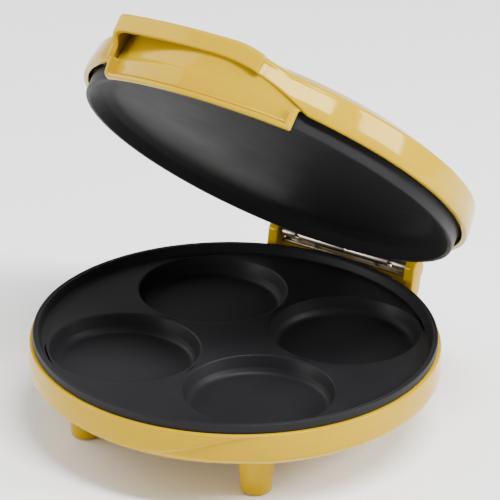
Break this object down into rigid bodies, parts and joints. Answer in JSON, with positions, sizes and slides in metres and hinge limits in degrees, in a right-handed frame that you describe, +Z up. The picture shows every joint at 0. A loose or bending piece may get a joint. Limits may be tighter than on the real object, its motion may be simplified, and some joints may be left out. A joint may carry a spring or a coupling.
{
  "type": "donut maker",
  "caption": "Round hinged electric donut maker: lower plate with round wells, plain upper plate, lid with a front grip recess, feet and a steel rear hinge.",
  "frame": {"origin": "on the surface it stands on, under the centre of the bounding box with the lid open at rest", "axes": "+Z up, the front with the handle faces -Y, the hinge lies along X at the back"},
  "size_m": [0.2266, 0.2457, 0.2392],
  "materials": {
    "yellow_shell": "high gloss",
    "nonstick_plate": "satin non-stick coating on cast aluminium",
    "plated_steel": "nickel plated",
    "reflector_sheet": "mill finish",
    "heater_sheath": "oxidised sheath",
    "terminal_ceramic": "unglazed ceramic look",
    "foot_rubber": "matt",
    "gland_plastic": "moulded",
    "power_lens": "translucent red",
    "ready_lens": "translucent green",
    "lead_sleeve": "glass-fibre sleeving"
  },
  "bodies": {
    "base": {"base_shell": "yellow_shell", "lower_plate": "nonstick_plate", "lower_heater": "heater_sheath", "lower_heater_clamp": "reflector_sheet", "earth_tag": "plated_steel", "lower_reflector": "reflector_sheet", "terminal_block": "terminal_ceramic", "cord_gland": "gland_plastic", "thermostat": "terminal_ceramic", "thermostat_bracket": "plated_steel", "thermal_fuse": "terminal_ceramic", "lower_hinge_bracket": "plated_steel", "hinge_pin": "plated_steel", "lower_clamp_screw_1": "plated_steel", "lower_clamp_screw_2": "plated_steel", "lower_clamp_screw_3": "plated_steel", "lower_clamp_screw_4": "plated_steel", "base_screw_1": "plated_steel", "base_screw_2": "plated_steel", "base_screw_3": "plated_steel", "base_screw_4": "plated_steel", "foot_pad_1": "foot_rubber", "foot_pad_2": "foot_rubber", "foot_pad_3": "foot_rubber", "foot_pad_4": "foot_rubber", "supply_lead_1": "lead_sleeve", "supply_lead_2": "lead_sleeve", "heater_lead_1": "lead_sleeve", "heater_lead_2": "lead_sleeve", "thermostat_screw_1": "plated_steel", "thermostat_screw_2": "plated_steel", "lower_hinge_screw_1": "plated_steel", "lower_hinge_screw_2": "plated_steel"},
    "lid": {"lid_shell": "yellow_shell", "upper_plate": "nonstick_plate", "handle_insert": "yellow_shell", "upper_hinge_bracket": "plated_steel", "upper_heater": "heater_sheath", "upper_heater_clamp": "reflector_sheet", "upper_reflector": "reflector_sheet", "power_lens": "power_lens", "ready_lens": "ready_lens", "power_lamp_holder": "terminal_ceramic", "ready_lamp_holder": "terminal_ceramic", "upper_clamp_screw_1": "plated_steel", "upper_clamp_screw_2": "plated_steel", "upper_clamp_screw_3": "plated_steel", "upper_clamp_screw_4": "plated_steel", "handle_screw_1": "plated_steel", "handle_screw_2": "plated_steel", "upper_hinge_screw_1": "plated_steel", "upper_hinge_screw_2": "plated_steel", "upper_lead_1": "lead_sleeve", "upper_lead_2": "lead_sleeve"}
  },
  "joints": [
    {"name": "lid_hinge", "type": "hinge", "parent": "base", "child": "lid", "pos_m": [0, 0.1015, 0.0575], "axis": [-1, 0, 0], "range_deg": [-45, 50]}
  ]
}
